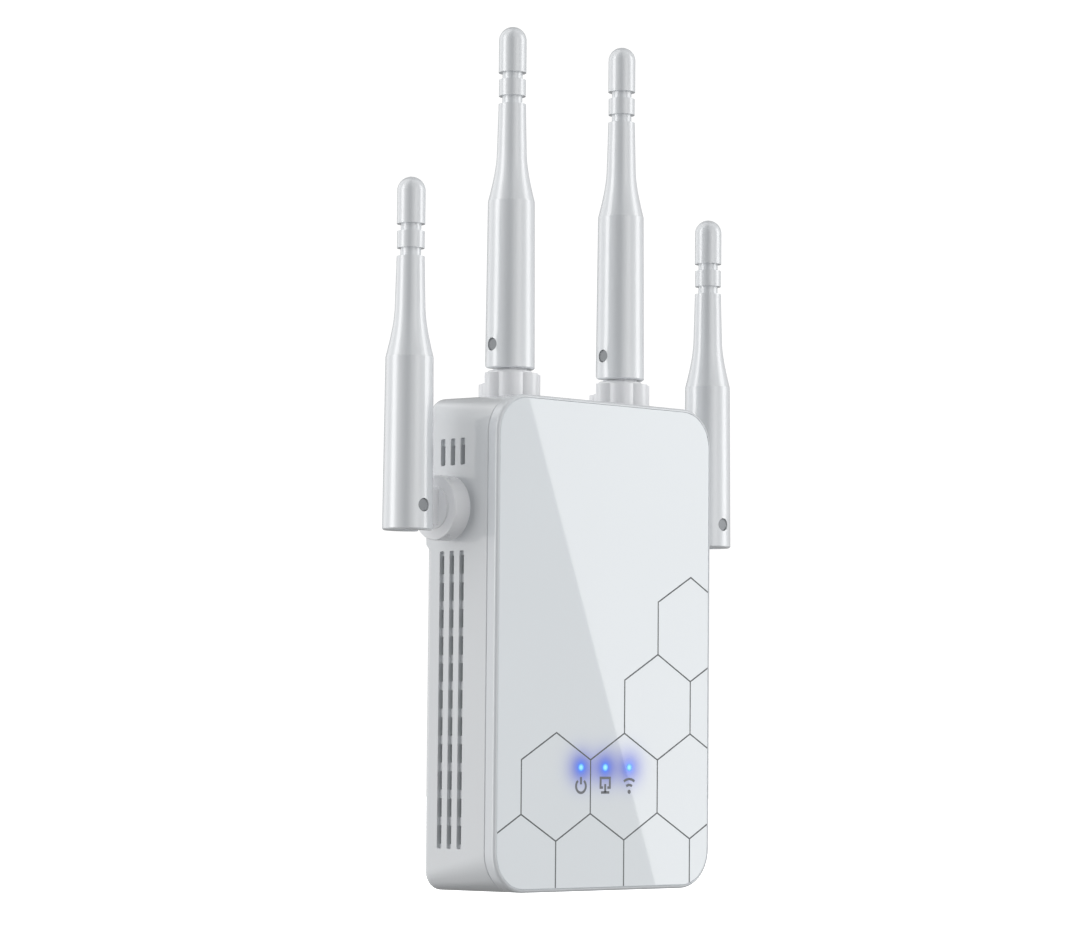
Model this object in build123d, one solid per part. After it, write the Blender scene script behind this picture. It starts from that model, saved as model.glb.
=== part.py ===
from build123d import *
import math
import os

# Plug-in wifi range extender with four folding antennas, in millimetres.
# Frame: the origin is on the wall-side face of the plug platform, midway between the two blades.
# +X is to the right when looking at the front panel, -Y points out of the front panel, +Z is up.

# ---- Casing ----
body_width = 58.0
body_height = 96.4
body_top = 15.7
body_bottom = body_top - body_height
body_middle = (body_top + body_bottom) / 2
corner_radius = 7.7
rear_corner_radius = 3.4
wall = 1.8
front_y = -32.3
cover_depth = 2.8
seam_y = front_y + cover_depth
body_depth = 21.0
rear_y = front_y + body_depth
front_edge_radius = 0.7
rear_edge_radius = 1.4
seam_chamfer = 0.15
platform_width = 35.0
platform_top = 12.0
platform_bottom = -40.0
platform_radius = 5.0
platform_edge_radius = 1.2
platform_face = 2.0
pad_radius = 10.5

# ---- Front cover and glossy panel ----
panel_inset = 0.6
panel_thickness = 1.0
panel_edge = 0.25
cover_floor = 1.0
floor_back = front_y + panel_thickness + cover_floor
lip_gap = 0.1
lip_wall = 1.0
lip_reach = 1.9
hex_side = 10.5
hex_line = 0.3
hex_depth = 0.15
hex_first_x = -13.06
hex_first_z = -60.37
line_margin = 0.2

# ---- Status lights ----
light_pitch = 6.5
light_z = -56.6
light_radius = 0.7
guide_radius = 1.3
guide_bar_height = 4.0
guide_bar_back = -29.0
led_width = 1.6
led_height = 0.7

# ---- Side vents ----
vent_pitch_y = 2.94
vent_middle_y = -19.06
vent_columns = 3
vent_rows = 11
vent_pitch_z = 5.24
vent_width = 1.35
vent_recess = 0.75
vent_corner = 0.3
slot_length = 3.55
channel_top = -14.7
channel_bottom = -72.5
upper_channel_top = 7.3
upper_channel_bottom = 2.0
upper_slot_top = 5.95
upper_slot_bottom = 2.2

# ---- Rear vents ----
rear_vent_rows = 6
rear_vent_pitch = 4.0
rear_vent_top = -48.0
rear_vent_length = 26.0
rear_vent_width = 1.4

# ---- Boards ----
board_front = -27.4
board_thickness = 1.2
board_back = board_front + board_thickness
board_width = 51.2
board_bottom = -78.5
board_top = -14.5
board_corner = 4.5
power_front = -12.0
power_back = power_front + board_thickness
power_width = 30.0
power_bottom = -36.6
power_top = 9.6

# ---- Screws ----
case_screw_x = 22.0
case_screw_z = (7.0, -73.5)
post_radius = 3.0
post_split_y = -22.0
case_hole_radius = 1.35
case_pilot_radius = 1.0
case_screw_length = 13.0
head_radius = 2.3
head_height = 1.5
head_recess_radius = 2.5
head_recess_bottom = -15.0
board_screw_x = 21.5
board_screw_z = (-18.5, -62.0)
board_post_radius = 2.2
board_pilot_radius = 0.75
board_hole_radius = 1.1
board_screw_length = 3.6
power_screw_length = 5.0
small_head_radius = 1.7
power_screws = ((-12.6, 7.2), (12.6, -34.0))

# ---- Processor and heat sink ----
processor_place = (6.0, -44.0)
processor_size = 14.0
processor_height = 1.4
pad_thickness = 0.5
sink_size = 22.0
sink_base = 1.3
fin_count = 7
fin_thickness = 0.9
fin_height = 3.2

# ---- Plug (NEMA 1-15) ----
blade_spacing = 12.7
blade_width = 6.35
blade_thickness = 1.5
blade_length = 17.0
blade_tip = 1.2
blade_hole_radius = 1.6
blade_hole_y = 11.9
blade_gap = 0.1
blade_tail_width = 3.0
blade_tail_back = -12.8
carrier_width = 20.0
carrier_height = 11.0
carrier_front = -8.4
carrier_back = -2.1

# ---- Ethernet jack ----
jack_x = -10.5
jack_width = 15.6
jack_height = 12.0
jack_length = 18.0
jack_bottom = -80.2
jack_back = board_back + jack_height
jack_clearance = 0.15
port_width = 11.9
port_height = 7.2
port_depth = 13.5
port_front = board_back + 1.6
latch_width = 6.2
latch_height = 2.0

# ---- Buttons in the bottom wall ----
button_y = -22.6
wps_x = 6.5
wps_radius = 2.6
reset_x = 14.5
reset_radius = 1.2
button_gap = 0.2
button_proud = 0.4
button_travel = 0.5
flange_extra = 0.7
flange_height = 0.8
switch_bottom = -75.6
switch_size = (6.0, 5.2, 3.6)

# ---- Antenna mounts on the walls ----
side_mount_y = -19.4
side_mount_z = -6.5
top_mount_x = 15.0
top_mount_y = -19.8
journal_radius = 3.6
journal_clearance = 0.05
journal_reach = 4.2
clip_groove_radius = 2.9
clip_radius = 4.9
clip_thickness = 0.8
clip_front = 2.1
clip_opening = 3.4
shoulder_gap = 0.15
neck_radius = 4.4
collar_start = 1.0
cable_bore_radius = 1.2
tongue_half = 1.6
tongue_radius = 3.3
tongue_gap = 0.3

# Side antennas: a plain round collar with small notches at its lip
side_collar_radius = 6.35
side_collar_face = 4.9
side_stub_face = 5.2
side_stub_radius = 4.2
side_pin_height = 11.6
side_heel_radius = 6.2
notch_angles = (60, 120, 240, 300)
notch_size = (0.7, 0.5, 1.2)
notch_drop = 1.1

# Top antennas: a fluted collar that is lower on the side that the antenna folds to
top_collar_low = 3.1
top_collar_high = 5.15
top_stub_face = 5.75
top_stub_radius = 4.4
top_pin_height = 10.85
top_heel_radius = 4.95
lobe_count = 7
lobe_radius = 2.9
lobe_centre = 3.3
lobe_phase = 25.4
lobe_core_radius = 4.75
high_side_limit = 0.5

# ---- Antenna rods ----
rod_end = 4.7
rod_length = 68.75
rod_end_radius = 4.92
rod_wide_radius = 4.66
rod_wide_top = 33.5
rod_thin_bottom = 44.0
rod_thin_radius = 2.95
rod_neck_radius = 2.72
groove_radius = 2.0
lower_groove = (53.15, 54.75)
upper_groove = (58.05, 59.5)
ring_radius = 2.68
tip_radius = 2.76
end_round = 0.25
pin_radius = 1.3
pin_half_length = 4.55
pin_clearance = 0.04
rod_bore_radius = 1.6
rod_bore_top = 51.0
radiator_foot = 9.5
radiator_tube_radius = 1.25
radiator_tube_top = 30.0
radiator_wire_radius = 0.5
radiator_wire_top = 50.0

# ---- Coax leads ----
lead_radius = 0.55
socket_z = -17.0
side_socket_x = 17.0
top_socket_x = 11.0
socket_height = 1.3
lead_plane_y = -22.2
lead_end = 0.6

CENTRE = (Align.CENTER, Align.CENTER, Align.CENTER)
ON_BASE = (Align.CENTER, Align.CENTER, Align.MIN)
LOW_CORNER = (Align.MIN, Align.MIN, Align.MIN)


# ---- Building blocks ----
def slab(outline, y_front, y_back):
    """An outline drawn in X and Z, extruded from y_front back to y_back."""
    return Pos(0, y_back, 0) * extrude(Plane.XZ * outline, y_back - y_front)


def block(x_range, y_range, z_range):
    """A box between the given limits."""
    low = [limits[0] for limits in (x_range, y_range, z_range)]
    size = [limits[1] - limits[0] for limits in (x_range, y_range, z_range)]
    return Pos(*low) * Box(*size, align=LOW_CORNER)


def bar_x(x_low, x_high, y, z, radius):
    """A round bar along X."""
    return Pos(x_low, y, z) * Rot(0, 90, 0) * Cylinder(radius, x_high - x_low, align=ON_BASE)


def bar_y(x, z, y_front, y_back, radius):
    """A round bar along Y."""
    return Pos(x, y_back, z) * Rot(90, 0, 0) * Cylinder(radius, y_back - y_front, align=ON_BASE)


def bar_z(x, y, z_low, z_high, radius):
    """A round bar along Z."""
    return Pos(x, y, z_low) * Cylinder(radius, z_high - z_low, align=ON_BASE)


def body_outline(inset=0.0):
    """The casing's rounded outline, drawn in by the inset."""
    size = RectangleRounded(body_width - 2 * inset, body_height - 2 * inset, corner_radius - inset)
    return Pos(0, body_middle) * size


def platform_outline(inset=0.0):
    """The plug platform's rounded outline, drawn in by the inset."""
    width = platform_width - 2 * inset
    height = platform_top - platform_bottom - 2 * inset
    middle = (platform_top + platform_bottom) / 2
    return Pos(0, middle) * RectangleRounded(width, height, platform_radius - inset)


def edges_at_y(part, y):
    """The part's edges that lie in the plane of this Y."""
    return part.edges().filter_by(Plane.XZ).filter_by_position(Axis.Y, y - 0.01, y + 0.01)


def screw(x, z, head_y, length, radius, head, direction):
    """A pan-head screw along Y with a cross slot; direction is the way its shank points along Y."""
    shank = Cylinder(radius, length, align=ON_BASE)
    cap = Pos(0, 0, -head_height) * Cylinder(head, head_height, align=ON_BASE)
    cap = fillet(cap.edges().group_by(Axis.Z)[0], 0.35 * head_height)
    body = shank + cap
    for angle in (0, 90):
        body -= Pos(0, 0, -head_height) * Rot(0, 0, angle) * Box(1.3 * head, 0.3 * head, head_height)
    return Pos(x, head_y, z) * Rot(90 * -direction, 0, 0) * body


def chip(x, z, width, height, thickness, pins):
    """A moulded chip on the main board's rear face, with a row of leads along two sides."""
    shape = block(
        (x - width / 2, x + width / 2),
        (board_back + 0.15, board_back + thickness),
        (z - height / 2, z + height / 2),
    )
    shape = chamfer(edges_at_y(shape, board_back + thickness), 0.2)
    for i in range(pins):
        lead_z = z + height * ((i + 0.5) / pins - 0.5)
        half = 0.25 * height / pins
        shape += block(
            (x - width / 2 - 0.8, x + width / 2 + 0.8),
            (board_back, board_back + 0.3),
            (lead_z - half, lead_z + half),
        )
    return shape


def side_cut(outline, side, depth):
    """A cut of this depth into the left (-1) or right (+1) wall; the outline is drawn in Y and Z."""
    outside = Plane.YZ.offset(side * (body_width / 2 + 1))
    return extrude(outside * outline, -side * (depth + 1))


# ---- Casing ----
def vent_cuts(side):
    """Three long recessed channels with slots through the wall, and three short ones above."""
    cuts = []
    row_middle = (channel_top + channel_bottom) / 2
    for column in range(vent_columns):
        y = vent_middle_y + (column - (vent_columns - 1) / 2) * vent_pitch_y
        lower = RectangleRounded(vent_width, channel_top - channel_bottom, vent_corner)
        cuts.append(side_cut(Pos(y, row_middle) * lower, side, vent_recess))
        upper = RectangleRounded(vent_width, upper_channel_top - upper_channel_bottom, vent_corner)
        upper_middle = (upper_channel_top + upper_channel_bottom) / 2
        cuts.append(side_cut(Pos(y, upper_middle) * upper, side, vent_recess))
        for row in range(vent_rows):
            z = row_middle + (row - (vent_rows - 1) / 2) * vent_pitch_z
            slot = Rectangle(vent_width, slot_length)
            cuts.append(side_cut(Pos(y, z) * slot, side, wall + 0.5))
        slot = Rectangle(vent_width, upper_slot_top - upper_slot_bottom)
        slot_middle = (upper_slot_top + upper_slot_bottom) / 2
        cuts.append(side_cut(Pos(y, slot_middle) * slot, side, wall + 0.5))
    return cuts


def rear_vent_cuts():
    """Long slots through the lower part of the rear wall."""
    cuts = []
    for row in range(rear_vent_rows):
        z = rear_vent_top - row * rear_vent_pitch
        slot = Pos(0, z) * SlotOverall(rear_vent_length, rear_vent_width)
        cuts.append(slab(slot, rear_y - wall - 0.5, rear_y + 1))
    return cuts


def face_at_y(outline, y):
    """An outline drawn in X and Z, as a face at this Y."""
    return (Plane.XZ.offset(-y) * outline).face()


def housing_block():
    """The housing's solid outside, whose corners grow tighter from the seam to the rear wall."""
    rear_outline = Pos(0, body_middle) * RectangleRounded(body_width, body_height, rear_corner_radius)
    edge = face_at_y(body_outline(seam_chamfer), seam_y)
    full = face_at_y(body_outline(), seam_y + seam_chamfer)
    rear = face_at_y(rear_outline, rear_y)
    return loft([full, rear], ruled=True), loft([edge, full], ruled=True)


def mount_pads(whole):
    """The casing keeps a full corner, with no rounded rear edge, around each antenna mount."""
    half = body_width / 2
    left = bar_x(-half, -half + wall, side_mount_y, side_mount_z, pad_radius)
    right = bar_x(half - wall, half, side_mount_y, side_mount_z, pad_radius)
    tops = []
    for x in (-top_mount_x, top_mount_x):
        tops.append(bar_z(x, top_mount_y, body_top - wall, body_top, pad_radius))
    return [whole & pad for pad in (left, right, *tops)]


def rear_housing():
    """Deep rear shell with the plug platform, vents, antenna holes, port and button holes."""
    whole, chamfered_rim = housing_block()
    outside = fillet(edges_at_y(whole, rear_y), rear_edge_radius)
    platform = slab(platform_outline(), rear_y - wall, 0)
    platform = fillet(edges_at_y(platform, 0), platform_edge_radius)
    shell = outside + chamfered_rim + platform + mount_pads(whole)
    shell -= slab(body_outline(wall), seam_y - 1, rear_y - wall)
    shell -= slab(platform_outline(wall), rear_y - wall - 1, -platform_face)
    posts = []
    for x in (-case_screw_x, case_screw_x):
        for z in case_screw_z:
            posts.append(bar_y(x, z, post_split_y, rear_y - wall / 2, post_radius))
    for x, z in power_screws:
        posts.append(bar_y(x, z, power_back, -platform_face / 2, board_post_radius))
    shell += posts
    holes = []
    for x in (-case_screw_x, case_screw_x):
        for z in case_screw_z:
            holes.append(bar_y(x, z, post_split_y - 1, rear_y + 1, case_hole_radius))
            holes.append(bar_y(x, z, head_recess_bottom, rear_y + 1, head_recess_radius))
    for x, z in power_screws:
        holes.append(bar_y(x, z, power_back - 1, power_back + 5, board_pilot_radius))
    bore = journal_radius + journal_clearance
    half = body_width / 2
    holes.append(bar_x(-half - 1, -half + 3, side_mount_y, side_mount_z, bore))
    holes.append(bar_x(half - 3, half + 1, side_mount_y, side_mount_z, bore))
    for x in (-top_mount_x, top_mount_x):
        holes.append(bar_z(x, top_mount_y, body_top - 3, body_top + 1, bore))
    bottom_wall = (body_bottom - 1, body_bottom + wall + 0.5)
    jack_half = jack_width / 2 + jack_clearance
    jack_y = (board_back - jack_clearance, jack_back + jack_clearance)
    holes.append(block((jack_x - jack_half, jack_x + jack_half), jack_y, bottom_wall))
    for x, radius in ((wps_x, wps_radius), (reset_x, reset_radius)):
        holes.append(bar_z(x, button_y, *bottom_wall, radius + button_gap))
    slot_width = blade_thickness + 2 * blade_gap
    slot_height = blade_width + 2 * blade_gap
    for x in (-blade_spacing / 2, blade_spacing / 2):
        slot = Pos(x, 0) * Rectangle(slot_width, slot_height)
        holes.append(slab(slot, -platform_face - 1, 1))
    shell -= holes + vent_cuts(-1) + vent_cuts(1) + rear_vent_cuts()
    return shell


def front_cover():
    """Shallow front rim with a recess for the panel, a lip into the housing and screw posts."""
    cover = slab(body_outline(), front_y, seam_y)
    cover = fillet(edges_at_y(cover, front_y), front_edge_radius)
    cover = chamfer(edges_at_y(cover, seam_y), seam_chamfer)
    cover -= slab(body_outline(panel_inset), front_y - 1, front_y + panel_thickness)
    cover -= slab(body_outline(wall + lip_gap + lip_wall), floor_back, seam_y + 1)
    lip_back = seam_y + lip_reach
    lip = slab(body_outline(wall + lip_gap), seam_y - 0.5, lip_back)
    lip -= slab(body_outline(wall + lip_gap + lip_wall), seam_y - 1, lip_back + 1)
    cover += lip
    posts = []
    holes = []
    for x in (-case_screw_x, case_screw_x):
        for z in case_screw_z:
            posts.append(bar_y(x, z, floor_back - 0.5, post_split_y, post_radius))
            holes.append(bar_y(x, z, floor_back + 0.5, post_split_y + 1, case_pilot_radius))
    for x in (-board_screw_x, board_screw_x):
        for z in board_screw_z:
            posts.append(bar_y(x, z, floor_back - 0.5, board_front, board_post_radius))
            holes.append(bar_y(x, z, floor_back + 0.2, board_front + 1, board_pilot_radius))
    cover += posts
    for x in light_places():
        holes.append(bar_y(x, light_z, front_y, floor_back + 1, guide_radius + 0.1))
    cover -= holes
    return cover


def light_places():
    """The X of each status light."""
    return [light_pitch * step for step in (-1, 0, 1)]


def hexagon_lines():
    """Five hexagons of a honeycomb and the stubs that run on to the panel's edge, as thin lines."""
    across = math.sqrt(3) * hex_side
    row = 1.5 * hex_side
    centres = [(0, 0), (1, 0), (2, 0), (1.5, 1), (2, 2)]
    outer = RegularPolygon(hex_side + hex_line / math.sqrt(3), 6, rotation=30)
    inner = RegularPolygon(hex_side - hex_line / math.sqrt(3), 6, rotation=30)
    ring = outer - inner
    lines = Sketch()
    for column, line in centres:
        lines += Pos(hex_first_x + column * across, hex_first_z + line * row) * ring
    for column in range(3):
        bottom_z = hex_first_z - hex_side
        down = Rectangle(hex_line, hex_side, align=(Align.CENTER, Align.MAX))
        lines += Pos(hex_first_x + column * across, bottom_z) * down
    corner = Pos(hex_first_x - across / 2, hex_first_z - hex_side / 2)
    lines += corner * Rot(0, 0, -150) * Rectangle(hex_side, hex_line, align=(Align.MIN, Align.CENTER))
    return lines & body_outline(panel_inset + line_margin)


def front_panel():
    """Glossy plate set in the cover, with light holes and thin grooves for the inlaid lines."""
    panel = slab(body_outline(panel_inset), front_y, front_y + panel_thickness)
    panel = fillet(edges_at_y(panel, front_y), panel_edge)
    for x in light_places():
        panel -= bar_y(x, light_z, front_y - 1, front_y + panel_thickness + 1, light_radius)
    panel -= slab(hexagon_lines(), front_y - 1, front_y + hex_depth)
    return panel


def hexagon_inlay():
    """The dark lines that lie flush in the panel's grooves."""
    return slab(hexagon_lines(), front_y, front_y + hex_depth)


def led_light_guide():
    """Clear bar with three posts that carry the light of the status LEDs to the panel."""
    reach = light_pitch + guide_radius + 0.6
    middle = guide_bar_height / 2
    guide = block((-reach, reach), (floor_back, guide_bar_back), (light_z - middle, light_z + middle))
    for x in light_places():
        guide += bar_y(x, light_z, front_y + panel_thickness, floor_back, guide_radius)
        guide += bar_y(x, light_z, front_y, front_y + panel_thickness, light_radius)
        guide += bar_y(x, light_z, guide_bar_back, board_front - led_height - 0.1, guide_radius)
    return guide


# ---- Main board ----
def main_board():
    """Board behind the front cover, cut away round the lower screw posts."""
    height = board_top - board_bottom
    outline = Pos(0, (board_top + board_bottom) / 2) * RectangleRounded(board_width, height, board_corner)
    board = slab(outline, board_front, board_back)
    holes = []
    for x in (-case_screw_x, case_screw_x):
        holes.append(bar_y(x, case_screw_z[1], board_front - 1, board_back + 1, post_radius + 0.5))
    for x in (-board_screw_x, board_screw_x):
        for z in board_screw_z:
            holes.append(bar_y(x, z, board_front - 1, board_back + 1, board_hole_radius))
    return board - holes


def status_leds():
    """Three surface-mounted LEDs, each a base with a smaller lens."""
    leds = []
    for x in light_places():
        half = led_width / 2
        base = block((x - half, x + half), (board_front - 0.3, board_front), (light_z - 0.4, light_z + 0.4))
        lens = block(
            (x - 0.7 * half, x + 0.7 * half),
            (board_front - led_height, board_front - 0.3),
            (light_z - 0.4, light_z + 0.4),
        )
        leds.append(base + lens)
    return Compound(leds)


def wifi_processor():
    x, z = processor_place
    return chip(x, z, processor_size, processor_size, processor_height, 12)


def memory_chip():
    return chip(-12.5, -44.0, 9.0, 8.0, 1.2, 6)


def radio_chips():
    return Compound([chip(-13.0, -29.0, 7.0, 7.0, 1.0, 7), chip(12.0, -25.0, 6.0, 6.0, 1.0, 6)])


def network_transformer():
    return chip(-14.0, -55.0, 10.4, 9.0, 4.6, 8)


def shield_can(x, z, width, height):
    """A thin metal lid over a radio chip, with rows of small holes."""
    depth = 2.4
    thickness = 0.25
    columns = 4
    rows = 2
    outline = Pos(x, z) * RectangleRounded(width, height, 0.8)
    hollow = Pos(x, z) * Rectangle(width - 2 * thickness, height - 2 * thickness)
    can = slab(outline, board_back, board_back + depth)
    can -= slab(hollow, board_back - 1, board_back + depth - thickness)
    holes = []
    for column in range(columns):
        for row in range(rows):
            hole_x = x + (column - (columns - 1) / 2) * width / (columns + 1)
            hole_z = z + (row - (rows - 1) / 2) * height / (rows + 1)
            holes.append(bar_y(hole_x, hole_z, board_back + 1, board_back + depth + 1, 0.6))
    return can - holes


def radio_shields():
    return Compound([shield_can(-13.0, -29.0, 15.0, 13.0), shield_can(12.0, -25.5, 16.0, 10.0)])


def thermal_pad():
    """Soft square between the processor and the heat sink."""
    outline = Pos(*processor_place) * RectangleRounded(processor_size - 1, processor_size - 1, 0.5)
    return slab(outline, board_back + processor_height, board_back + processor_height + pad_thickness)


def heat_sink():
    """Finned aluminium plate on the processor."""
    middle_x, middle_z = processor_place
    base_front = board_back + processor_height + pad_thickness
    base_back = base_front + sink_base
    sink = slab(Pos(middle_x, middle_z) * Rectangle(sink_size, sink_size), base_front, base_back)
    pitch = (sink_size - fin_thickness) / (fin_count - 1)
    for i in range(fin_count):
        x = middle_x + (i - (fin_count - 1) / 2) * pitch
        outline = Pos(x, middle_z) * Rectangle(fin_thickness, sink_size)
        sink += slab(outline, base_back - 0.1, base_back + fin_height)
    return sink


def ethernet_jack():
    """Jack body with an open port in its lower end and a channel for the plug's latch."""
    half = jack_width / 2
    jack_z = (jack_bottom, jack_bottom + jack_length)
    body = block((jack_x - half, jack_x + half), (board_back, jack_back), jack_z)
    body = chamfer(body.edges().filter_by(Axis.Z), 0.4)
    port_z = (jack_bottom - 1, jack_bottom + port_depth)
    port_y = (port_front + latch_height, port_front + latch_height + port_height)
    body -= block((jack_x - port_width / 2, jack_x + port_width / 2), port_y, port_z)
    latch_y = (port_front, port_front + latch_height + 0.1)
    body -= block((jack_x - latch_width / 2, jack_x + latch_width / 2), latch_y, port_z)
    return body


def jack_contacts():
    """Eight spring contacts that slope into the port from its rear wall."""
    contacts = []
    floor_y = port_front + latch_height + port_height
    root_z = jack_bottom + port_depth
    for i in range(8):
        x = jack_x + (i - 3.5) * 1.02
        profile = Polygon(
            (floor_y, root_z),
            (floor_y - 0.35, root_z),
            (floor_y - 1.95, root_z - 5.0),
            (floor_y - 1.6, root_z - 5.0),
            align=None,
        )
        contacts.append(extrude(Plane.YZ.offset(x - 0.18) * profile, 0.36))
    return Compound(contacts)


def antenna_sockets():
    """Four small round coax sockets on the main board."""
    sockets = []
    for x in (-side_socket_x, -top_socket_x, top_socket_x, side_socket_x):
        base = block((x - 1.4, x + 1.4), (board_back, board_back + 0.5), (socket_z - 1.4, socket_z + 1.4))
        sockets.append(base + bar_y(x, socket_z, board_back + 0.4, board_back + socket_height, 1.1))
    return Compound(sockets)


def button_switches():
    """Two push switches behind the bottom wall, facing down."""
    switches = []
    width, depth, height = switch_size
    for x in (wps_x, reset_x):
        body = block(
            (x - width / 2, x + width / 2),
            (board_back, board_back + depth),
            (switch_bottom, switch_bottom + height),
        )
        switches.append(chamfer(body.edges().group_by(Axis.Z)[-1], 0.4))
    return Compound(switches)


def power_socket():
    """Two-way socket on the main board for the low-voltage lead."""
    body = block((17.6, 22.4), (board_back, board_back + 5.0), (-44.0, -38.0))
    body -= [bar_y(20.0, z, board_back + 2.0, board_back + 6.0, 0.65) for z in (-42.2, -39.8)]
    return body


# ---- Power supply ----
def power_board():
    """Narrow board at the mouth of the plug platform, with slots for the blades' tails."""
    middle = (power_top + power_bottom) / 2
    outline = Pos(0, middle) * RectangleRounded(power_width, power_top - power_bottom, 1.5)
    board = slab(outline, power_front, power_back)
    holes = [bar_y(x, z, power_front - 1, power_back + 1, board_hole_radius) for x, z in power_screws]
    for x in (-blade_spacing / 2, blade_spacing / 2):
        slot = Pos(x, 0) * Rectangle(blade_thickness + 0.1, blade_tail_width + 0.1)
        holes.append(slab(slot, power_front - 1, power_back + 1))
    return board - holes


def plug_blades():
    """Two flat brass blades with rounded tips, a hole near the tip and a narrow tail."""
    blades = []
    for x in (-blade_spacing / 2, blade_spacing / 2):
        half = blade_width / 2
        side = blade_thickness / 2
        blade = block((-side, side), (carrier_front - 0.6, blade_length), (-half, half))
        tip = blade.edges().group_by(Axis.Y)[-1].filter_by(Axis.X)
        blade = fillet(tip, blade_tip)
        thin = blade.edges().group_by(Axis.Y)[-1].filter_by(Axis.Z)
        blade = chamfer(thin, 0.35)
        tail = blade_tail_width / 2
        blade += block((-side, side), (blade_tail_back, carrier_front - 0.5), (-tail, tail))
        blade -= bar_x(-2, 2, blade_hole_y, 0, blade_hole_radius)
        blades.append(Pos(x, 0, 0) * blade)
    return Compound(blades)


def blade_carrier():
    """Insulating block inside the platform that grips the blades."""
    outline = RectangleRounded(carrier_width, carrier_height, 1.5)
    carrier = slab(outline, carrier_front, carrier_back)
    for x in (-blade_spacing / 2, blade_spacing / 2):
        slot = Pos(x, 0) * Rectangle(blade_thickness, blade_width)
        carrier -= slab(slot, carrier_front - 1, carrier_back + 1)
    return carrier


def transformer_core():
    """Ferrite frame of the power transformer."""
    core = block((-8.0, 8.0), (-22.4, -12.6), (-23.0, -9.0))
    core = chamfer(core.edges().filter_by(Axis.Y), 0.5)
    for low, high in ((-5.6, -2.6), (2.6, 5.6)):
        core -= block((low, high), (-23.0, -12.0), (-20.4, -11.6))
    return core


def transformer_winding():
    """Taped winding around the core's middle leg, standing on the power board."""
    winding = block((-5.3, 5.3), (-22.0, -12.0), (-20.1, -11.9))
    winding = fillet(winding.edges().filter_by(Axis.Y), 1.2)
    return winding - block((-2.6, 2.6), (-23.0, -12.6), (-21.0, -11.0))


def bulk_capacitors():
    """Two electrolytic cans lying in the platform."""
    cans = []
    for x in (-4.4, 4.4):
        can = bar_z(x, -6.6, -34.0, -20.0, 3.9)
        can = fillet(can.edges(), 0.6)
        cans.append(can - (bar_z(x, -6.6, -32.9, -32.3, 4.5) - bar_z(x, -6.6, -33.0, -32.2, 3.6)))
    return Compound(cans)


def output_capacitor():
    """Low-voltage electrolytic can lying on the front of the power board."""
    can = bar_x(1.5, 11.0, -15.2, -30.0, 3.15)
    can = fillet(can.edges(), 0.5)
    return can - (bar_x(2.3, 2.8, -15.2, -30.0, 3.6) - bar_x(2.2, 2.9, -15.2, -30.0, 2.9))


def rectifier():
    """Small bridge rectifier on the rear of the power board."""
    body = block((-2.6, 2.6), (power_back, power_back + 1.6), (-13.8, -9.8))
    body = chamfer(edges_at_y(body, power_back + 1.6), 0.25)
    for x in (-1.6, 1.6):
        body += block((x - 0.4, x + 0.4), (power_back, power_back + 0.3), (-14.8, -8.8))
    return body


def mains_fuse():
    """Glass-style fuse with two end caps on the front of the power board."""
    fuse = bar_x(-5.2, 5.2, -13.9, 5.6, 1.5)
    for low, high in ((-5.6, -3.4), (3.4, 5.6)):
        fuse += bar_x(low, high, -13.9, 5.6, 1.8)
    return fuse


def safety_capacitor():
    """Round disc capacitor standing on two leads."""
    disc = bar_x(-10.4, -7.6, -16.4, -30.0, 3.6)
    disc = fillet(disc.edges(), 1.1)
    for z in (-32.0, -28.0):
        disc += bar_y(-9.0, z, -16.0, -12.0, 0.35)
    return disc


# ---- Buttons ----
def button(x, radius):
    """Round plunger through the bottom wall, kept in by a flange inside."""
    inside = body_bottom + wall
    cap = bar_z(x, button_y, body_bottom - button_proud, inside + 0.5, radius)
    cap = fillet(cap.edges().group_by(Axis.Z)[0], 0.3)
    flange_low = inside + 0.1
    cap += bar_z(x, button_y, flange_low, flange_low + flange_height, radius + flange_extra)
    return cap + bar_z(x, button_y, flange_low, switch_bottom - button_travel - 0.1, 0.8)


# ---- Screws ----
def case_screws():
    places = [(x, z) for x in (-case_screw_x, case_screw_x) for z in case_screw_z]
    size = (case_screw_length, case_pilot_radius, head_radius)
    return Compound([screw(x, z, head_recess_bottom, *size, -1) for x, z in places])


def board_screws():
    places = [(x, z) for x in (-board_screw_x, board_screw_x) for z in board_screw_z]
    size = (board_screw_length, board_pilot_radius, small_head_radius)
    return Compound([screw(x, z, board_back, *size, -1) for x, z in places])


def power_board_screws():
    size = (power_screw_length, board_pilot_radius, small_head_radius)
    return Compound([screw(x, z, power_front, *size, 1) for x, z in power_screws])


# ---- Antennas ----
# Each antenna is drawn standing straight out of its wall: local Z is the outward direction, with 0 on the
# wall's surface, local X is the cross pin's axis, and the rod folds towards local +Y.
def collar_core(pin_height):
    """Journal in the wall hole, neck and the tongue that holds the pin."""
    core = bar_z(0, 0, -journal_reach, collar_start, journal_radius)
    core += bar_z(0, 0, shoulder_gap, collar_start + 0.2, neck_radius)
    groove = bar_z(0, 0, -clip_front - clip_thickness, -clip_front, journal_radius + 1)
    groove -= Pos(0, 0, -clip_front - 2) * Cylinder(clip_groove_radius, 4, align=ON_BASE)
    core -= groove
    tongue = Pos(0, 0, collar_start + 1) * Box(
        2 * tongue_half, 2 * tongue_radius, pin_height - collar_start - 1, align=ON_BASE
    )
    return core + tongue + bar_x(-tongue_half, tongue_half, 0, pin_height, tongue_radius)


def collar_holes(pin_height):
    """The cable bore up to the tongue's eye, and the cross bore for the pin."""
    cable = bar_z(0, 0, -journal_reach - 1, pin_height - 3.2, cable_bore_radius)
    cross = bar_x(-10, 10, 0, pin_height, pin_radius + pin_clearance)
    return [cable, cross]


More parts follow.
